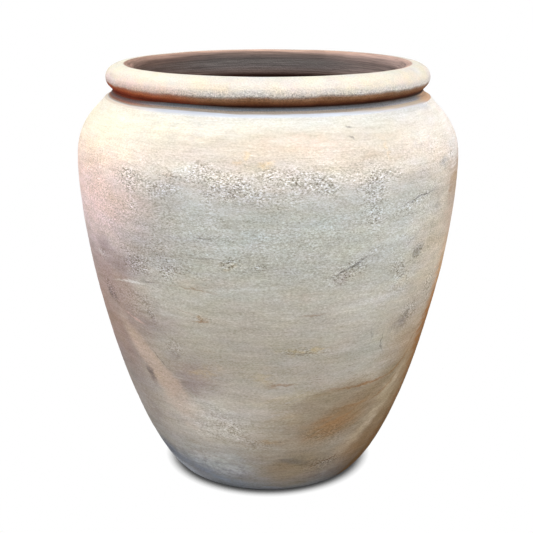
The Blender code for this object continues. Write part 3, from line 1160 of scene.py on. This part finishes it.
# The inside's colours by height: brown clay, with painted shade below about 0.566 and painted light on the
# lip's inner face from 0.5955 up
insideByHeight = [
    (0.430, (92, 66, 54)),
    (0.520, (84, 58, 48)),
    (0.556, (60, 36, 28)),
    (0.561, (80, 54, 46)),
    (0.566, (102, 86, 80)),
    (0.575, (114, 106, 104)),
    (0.583, (116, 110, 107)),
    (0.588, (96, 86, 83)),
    (0.5935, (98, 84, 78)),
    (0.5955, (132, 111, 102)),
    (0.597, (156, 130, 118)),
    (0.600, (186, 152, 134)),
]
neckByHeight = [
    (0.5520, (212, 209, 201)),
    # these two blue-white stops are a painted highlight on the ledge
    (0.5535, (203, 209, 219)),
    (0.5560, (200, 206, 216)),
    (0.5567, (172, 160, 148)),
    (0.5593, (160, 148, 136)),
    (0.5600, (134, 140, 148)),
    (0.5620, (114, 118, 124)),
    (0.5635, (100, 94, 92)),
    # the dark brown from here up is the rim's painted shadow
    (0.5641, (70, 46, 36)),
    (0.5650, (60, 38, 28)),
]
neckRightByHeight = [
    # the pale stops up to 0.5545 carry the painted highlight on the ledge
    (0.5520, (206, 204, 206)),
    (0.5545, (203, 201, 205)),
    (0.5553, (194, 180, 164)),
    (0.5578, (188, 172, 154)),
    (0.5588, (150, 150, 156)),
    (0.5615, (124, 124, 126)),
    (0.5632, (104, 100, 98)),
    # the dark brown from here up is the rim's painted shadow
    (0.5641, (76, 56, 46)),
    (0.5650, (60, 42, 32)),
]

# The inside and the bare clay, whose broad waves, dust and ripples the rim and the neck share
claySet = {
    "broad": (14, 14, 4, 0.6),
    "dust": (520, 620, 2, 0.6),
    "ripples": (9, 400, 4, 0.72),
    "rippleWander": 0.006,
    "rippleDepth": 2.4,
    # the inside is darker on the left, painted shade, and paler on the right, painted light
    "insideLeft": (-0.4, -0.95),
    "insideRight": (0.4, 0.95),
    "insideSides": 0.5,
    "insideShadeBrown": (104, 78, 66),
    "insideLitPale": (172, 148, 140),
    "dustDepth": 0.3,
    "dustRoughness": 0.2,
    "gloss": 0.2,
    "insideRoughness": 0.88,
    "insideRippleLift": 0.8,
    "insideDustLift": 0.4,
    "bareCloud": (60, 60, 4, 0.6),
    "bareDark": (150, 98, 70),
    "barePale": (172, 120, 88),
    "bareRoughness": 0.9,
}


def innerClay(finish, ripples):
    height = finish.along("Z") + ripples * claySet["rippleWander"]
    colour = byHeight(finish, height, insideByHeight)
    sideways = finish.along("X") / finish.radius
    # painted shade on the left of the inside and painted light on its right
    brown = finish.step(sideways, *claySet["insideLeft"])
    pale = finish.step(sideways, *claySet["insideRight"])
    colour = finish.mix(brown * claySet["insideSides"], colour, shade(*claySet["insideShadeBrown"]))
    colour = finish.mix(pale * claySet["insideSides"], colour, shade(*claySet["insideLitPale"]))
    return finish.scaled(colour, 1.0 + ripples * claySet["rippleDepth"])


rimSet = {
    "edge": (26, 26, 3, 0.6),
    "edgeWander": 0.007,
    "clouds": (34, 70, 5, 0.7),
    "hues": (28, 50, 3, 0.6),
    "hueDepth": 0.16,
    "patches": (26, 60, 3, 0.6),
    "patchWarmth": 0.40,
    "leftSway": 0.3,
    "leftEdge": (-0.28, -0.70),
    # below this height lies the roll's underside, whose dark colour is partly painted shade
    "underside": (0.579, 0.575),
    # farLeft and its tint warm the painted shade under the roll at the far left
    "farLeft": (-0.78, -0.92),
    "farLeftTint": (238, 190, 160),
    "grittyPart": (0.586, 0.577),
    "grit": (0.6, 1.3, 0.8),  # everywhere, what sand adds, and what the lower part adds
    "cloudDepth": 0.22,
    "cloudsUnderneath": 0.7,
    "ripplesUnderneath": 1.0,
    "crestRadius": 0.2040,  # where the brown of the inside starts
    "crestFade": 0.0030,
    "crestSway": 0.003,
    "roughness": 0.84,
    "gloss": 0.10,
    # relief in millimetres
    "dustLift": 0.7,
    "sandyDustLift": 1.5,
    "rippleLift": 0.5,
    "cloudLift": 1.5,
}


def rimWash():
    finish = Finish("rimWash")
    broad = finish.grain(claySet["broad"])
    ripples = finish.grain(claySet["ripples"])
    dust = finish.grain(claySet["dust"])
    clouds = finish.grain(rimSet["clouds"])
    height = finish.along("Z") + finish.grain(rimSet["edge"]) * rimSet["edgeWander"]
    sideways = finish.along("X") / finish.radius
    colour = byHeight(finish, height, rimByHeight)
    left = finish.step(sideways + broad * rimSet["leftSway"], *rimSet["leftEdge"])
    colour = finish.mix(left, colour, byHeight(finish, height, rimLeftByHeight))
    # the roll's underside, whose dark colour is partly painted shade
    under = finish.step(height, *rimSet["underside"])
    farLeft = finish.step(sideways, *rimSet["farLeft"]) * under
    colour = finish.mix(farLeft, colour, shade(*rimSet["farLeftTint"]), "MULTIPLY")
    colour = finish.tinted(colour, finish.grain(rimSet["hues"], "Color"), rimSet["hueDepth"])
    colour = finish.warmed(colour, finish.grain(rimSet["patches"]) * (1 - under) * rimSet["patchWarmth"])
    sandy = finish.attribute("sandy")
    low = finish.step(finish.along("Z"), *rimSet["grittyPart"])
    everywhere, inSand, lowDown = rimSet["grit"]
    grit = dust * (everywhere + sandy * inSand + low * lowDown)
    light = 1.0 + grit + clouds * (rimSet["cloudDepth"] + under * rimSet["cloudsUnderneath"])
    colour = finish.scaled(colour, light + ripples * under * rimSet["ripplesUnderneath"])
    start = rimSet["crestRadius"]
    inner = finish.step(finish.radius + ripples * rimSet["crestSway"], start, start - rimSet["crestFade"])
    colour = finish.mix(inner, colour, innerClay(finish, ripples))
    roughness = rimSet["roughness"] + dust * claySet["dustRoughness"]
    relief = dust * (rimSet["dustLift"] + sandy * rimSet["sandyDustLift"])
    relief = relief + ripples * rimSet["rippleLift"] + clouds * rimSet["cloudLift"]
    return finish.dress(colour, roughness, rimSet["gloss"], relief)


# The neck. Sides are edges across the sine of the turn, and bands are edges up the neck.
neckSet = {
    "threads": (20, 900, 3, 0.6),
    "streaks": (10, 420, 4, 0.7),
    "bandSway": 0.002,
    "rise": 0.0011,  # and how far they sink at the far left, which carries the rim's painted shadow lower there
    "riseFrom": (-0.15, -0.45),
    "riseTo": (-0.80, -0.60),
    "sink": 0.0008,  # and how far they sink at the far left
    "sinkFrom": (-0.50, -0.85),
    "creamSide": (-0.55, -0.85),
    "creamBand": (0.5566, 0.5556),
    "cream": (224, 214, 198),
    "rightSide": (0.35, 0.75),
    "collarBand": (0.5565, 0.5585),
    # the left collar is darkened and reddened: partly its own tint, partly painted shade under the rim
    "rosyShadeSide": (-0.50, -0.90),
    "rosyShade": (238, 176, 160),
    # the rim's painted shadow on the collar's top at the left, redder than elsewhere
    "rimShadowSide": (-0.35, -0.80),
    "rimShadowBand": (0.5632, 0.5643),
    "rimShadow": (122, 52, 34),
    "facetSide": (0.88, 0.96),
    "facetBand": (0.5640, 0.5620),
    "facet": (204, 166, 134),
    "tintAmount": 0.9,
    "threadDepth": 0.5,
    "streakDepth": 1.6,
    "dustDepth": 0.9,
    "roughness": 0.8,
    "threadRoughness": 0.3,
    "gloss": 0.10,
    # relief in millimetres
    "threadLift": 0.8,
    "streakLift": 1.2,
    "dustLift": 0.5,
}


def neckStain():
    finish = Finish("neckStain")
    broad = finish.grain(claySet["broad"])
    threads = finish.grain(neckSet["threads"])
    streaks = finish.grain(neckSet["streaks"])
    dust = finish.grain(claySet["dust"])
    sideways = finish.along("X") / finish.radius
    upwards = finish.along("Z")
    sink = finish.step(sideways, *neckSet["sinkFrom"]) * neckSet["sink"]
    hump = finish.step(sideways, *neckSet["riseFrom"]) * finish.step(sideways, *neckSet["riseTo"])
    rise = hump * neckSet["rise"]
    height = upwards + broad * neckSet["bandSway"] + streaks * neckSet["bandSway"] + sink - rise
    colour = byHeight(finish, height, neckByHeight)
    cream = finish.step(sideways, *neckSet["creamSide"]) * finish.step(height, *neckSet["creamBand"])
    colour = finish.mix(cream, colour, shade(*neckSet["cream"]))
    right = finish.step(sideways, *neckSet["rightSide"])
    colour = finish.mix(right, colour, byHeight(finish, height, neckRightByHeight))
    collar = finish.step(height, *neckSet["collarBand"])
    # the left collar darkened and reddened: partly its own tint, partly painted shade under the rim
    rosyShade = finish.step(sideways, *neckSet["rosyShadeSide"]) * collar
    colour = finish.mix(rosyShade * neckSet["tintAmount"], colour, shade(*neckSet["rosyShade"]), "MULTIPLY")
    # the rim's painted shadow on the collar's top at the left
    rimShadow = finish.step(sideways, *neckSet["rimShadowSide"]) * finish.step(height, *neckSet["rimShadowBand"])
    colour = finish.mix(rimShadow * neckSet["tintAmount"], colour, shade(*neckSet["rimShadow"]))
    facet = finish.step(sideways, *neckSet["facetSide"]) * finish.step(upwards, *neckSet["facetBand"])
    colour = finish.mix(facet * neckSet["tintAmount"], colour, shade(*neckSet["facet"]))
    light = 1.0 + threads * neckSet["threadDepth"] + streaks * collar * neckSet["streakDepth"]
    colour = finish.scaled(colour, light + dust * collar * neckSet["dustDepth"])
    roughness = neckSet["roughness"] + threads * neckSet["threadRoughness"]
    relief = threads * neckSet["threadLift"] + streaks * neckSet["streakLift"] + dust * neckSet["dustLift"]
    return finish.dress(colour, roughness, neckSet["gloss"], relief)


def insideClay():
    finish = Finish("insideClay")
    ripples = finish.grain(claySet["ripples"])
    dust = finish.grain(claySet["dust"])
    colour = finish.scaled(innerClay(finish, ripples), 1.0 + dust * claySet["dustDepth"])
    roughness = claySet["insideRoughness"] + dust * claySet["dustRoughness"]
    relief = ripples * claySet["insideRippleLift"] + dust * claySet["insideDustLift"]
    return finish.dress(colour, roughness, claySet["gloss"], relief)


def bareClay():
    finish = Finish("bareClay")
    cloud = finish.grain(claySet["bareCloud"])
    dust = finish.grain(claySet["dust"])
    colour = finish.mix(cloud + 0.5, shade(*claySet["bareDark"]), shade(*claySet["barePale"]))
    colour = finish.scaled(colour, 1.0 + dust * claySet["dustDepth"])
    roughness = claySet["bareRoughness"] + dust * claySet["dustRoughness"]
    return finish.dress(colour, roughness, claySet["gloss"], dust)


outsideWash = limewash()
rimOutside = rimWash()
neckOutside = neckStain()
innerSurface = insideClay()
hiddenSurface = bareClay()
print("finishes made")

sections = {
    "firedFloor": ("floor_slab", "stained_clay", slabOutline(), outsideWash),
    "firedCoil": ("corner_coil", "raw_clay", coilOutline(), innerSurface),
    "firedLowerWall": ("lower_wall", "limewashed_clay", wallOutline(0), outsideWash),
    "firedMiddleWall": ("middle_wall", "limewashed_clay", wallOutline(1), outsideWash),
    "firedUpperWall": ("upper_wall", "limewashed_clay", wallOutline(2), outsideWash),
    "firedBellyWall": ("belly_wall", "limewashed_clay", wallOutline(3), outsideWash),
    "firedShoulderWall": ("shoulder_wall", "limewashed_clay", wallOutline(4), outsideWash),
    "firedNeck": ("neck_ring", "stained_clay", neckOutline(), neckOutside),
    "firedRim": ("rim_roll", "limewashed_clay", rimOutline(), rimOutside),
}
for name, (node, slot, outline, outerFinish) in sections.items():
    piece = turned(name, outline)
    for material in (hiddenSurface, outerFinish, innerSurface):
        piece.data.materials.append(material)
    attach(piece, "root")
    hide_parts(node)

# Camera, at the photograph's angle
cameraSet = {
    "place": (-0.0019, -1.5, 0.7397),
    "pitch": 16.45,  # degrees down from level
    "lens": 70.6,
    "sensor": 36,
}
lens = bpy.data.cameras.new("photographView")
lens.lens = cameraSet["lens"]
lens.sensor_width = cameraSet["sensor"]
camera = bpy.data.objects.new("photographView", lens)
camera.location = cameraSet["place"]
camera.rotation_euler = (math.radians(90 - cameraSet["pitch"]), 0, 0)
bpy.context.scene.collection.objects.link(camera)
bpy.context.scene.camera = camera

# Lamps: a wide soft one overhead, a fill in front, and a pale world
lampSet = {
    "overhead": {"place": (0.0, -0.45, 1.7), "size": (4.4, 1.0), "watts": 52},
    "front": {"place": (0.0, -2.6, 1.2), "size": (2.0, 1.0), "watts": 7},
}
worldSet = {"ambient": 0.32, "white": 1.0}


def softLamp(name, place, size, watts):
    light = bpy.data.lights.new(name, "AREA")
    light.shape = "RECTANGLE"
    light.size, light.size_y = size
    light.energy = watts
    lamp = bpy.data.objects.new(name, light)
    lamp.location = place
    aim = Vector((0, 0, potShape["bellyHeight"] / 2)) - Vector(place)
    lamp.rotation_euler = aim.to_track_quat("-Z", "Y").to_euler()
    bpy.context.scene.collection.objects.link(lamp)


for name, lamp in lampSet.items():
    softLamp(name, **lamp)


def paleWorld():
    world = bpy.data.worlds.new("paleStudio")
    world.use_nodes = True
    bpy.context.scene.world = world
    nodes, links = world.node_tree.nodes, world.node_tree.links
    rays = nodes.new("ShaderNodeLightPath")
    seen = nodes.new("ShaderNodeMath")
    seen.operation = "MAXIMUM"
    seenAny = nodes.new("ShaderNodeMath")
    seenAny.operation = "MAXIMUM"
    links.new(rays.outputs["Is Camera Ray"], seen.inputs[0])
    links.new(rays.outputs["Is Glossy Ray"], seen.inputs[1])
    links.new(seen.outputs[0], seenAny.inputs[0])
    links.new(rays.outputs["Is Transmission Ray"], seenAny.inputs[1])
    strength = nodes.new("ShaderNodeMapRange")
    strength.inputs["To Min"].default_value = worldSet["ambient"]
    strength.inputs["To Max"].default_value = worldSet["white"]
    links.new(seenAny.outputs[0], strength.inputs["Value"])
    nodes["Background"].inputs["Color"].default_value = (1, 1, 1, 1)
    links.new(strength.outputs[0], nodes["Background"].inputs["Strength"])


paleWorld()

floorSet = {
    "halfWidth": 6.0,
    "colour": (0.8, 0.8, 0.8, 1),
    "shadowReach": 0.016,
    "shadow": ((0.0, 0.01), (0.25, 0.1), (0.6, 0.72), (0.9, 1.0)),  # openness and brightness
    "shadowSamples": 16,
    "roughness": 0.9,
}


def paleFloor():
    # a plain white floor, which keeps the pot's shadow where the camera sees it
    shape = bmesh.new()
    bmesh.ops.create_grid(shape, x_segments=1, y_segments=1, size=floorSet["halfWidth"])
    mesh = bpy.data.meshes.new("studioFloor")
    shape.to_mesh(mesh)
    shape.free()
    floor = bpy.data.objects.new("studioFloor", mesh)
    bpy.context.scene.collection.objects.link(floor)
    finish = Finish("paleFloor")
    finish.set("Base Color", floorSet["colour"])
    finish.set("Roughness", floorSet["roughness"])
    reach = {"Distance": floorSet["shadowReach"]}
    samples = {"samples": floorSet["shadowSamples"]}
    openness = finish.add("ShaderNodeAmbientOcclusion", samples, reach, "AO")
    stops = [(share, (bright, bright, bright, 1)) for share, bright in floorSet["shadow"]]
    white = finish.add("ShaderNodeEmission", feeds={"Color": finish.ramp(openness, stops), "Strength": 1.0})
    rays = finish.add("ShaderNodeLightPath", out="Is Camera Ray")
    plain = Wire(finish, finish.shader.outputs[0])
    shown = finish.add("ShaderNodeMixShader", feeds={0: rays, 1: plain, 2: white})
    finish.tree.links.new(shown.socket, finish.tree.nodes["Material Output"].inputs["Surface"])
    mesh.materials.append(finish.material)


paleFloor()
print("studio set:", len(lampSet), "lamps")

bpy.context.scene.view_settings.view_transform = "Standard"
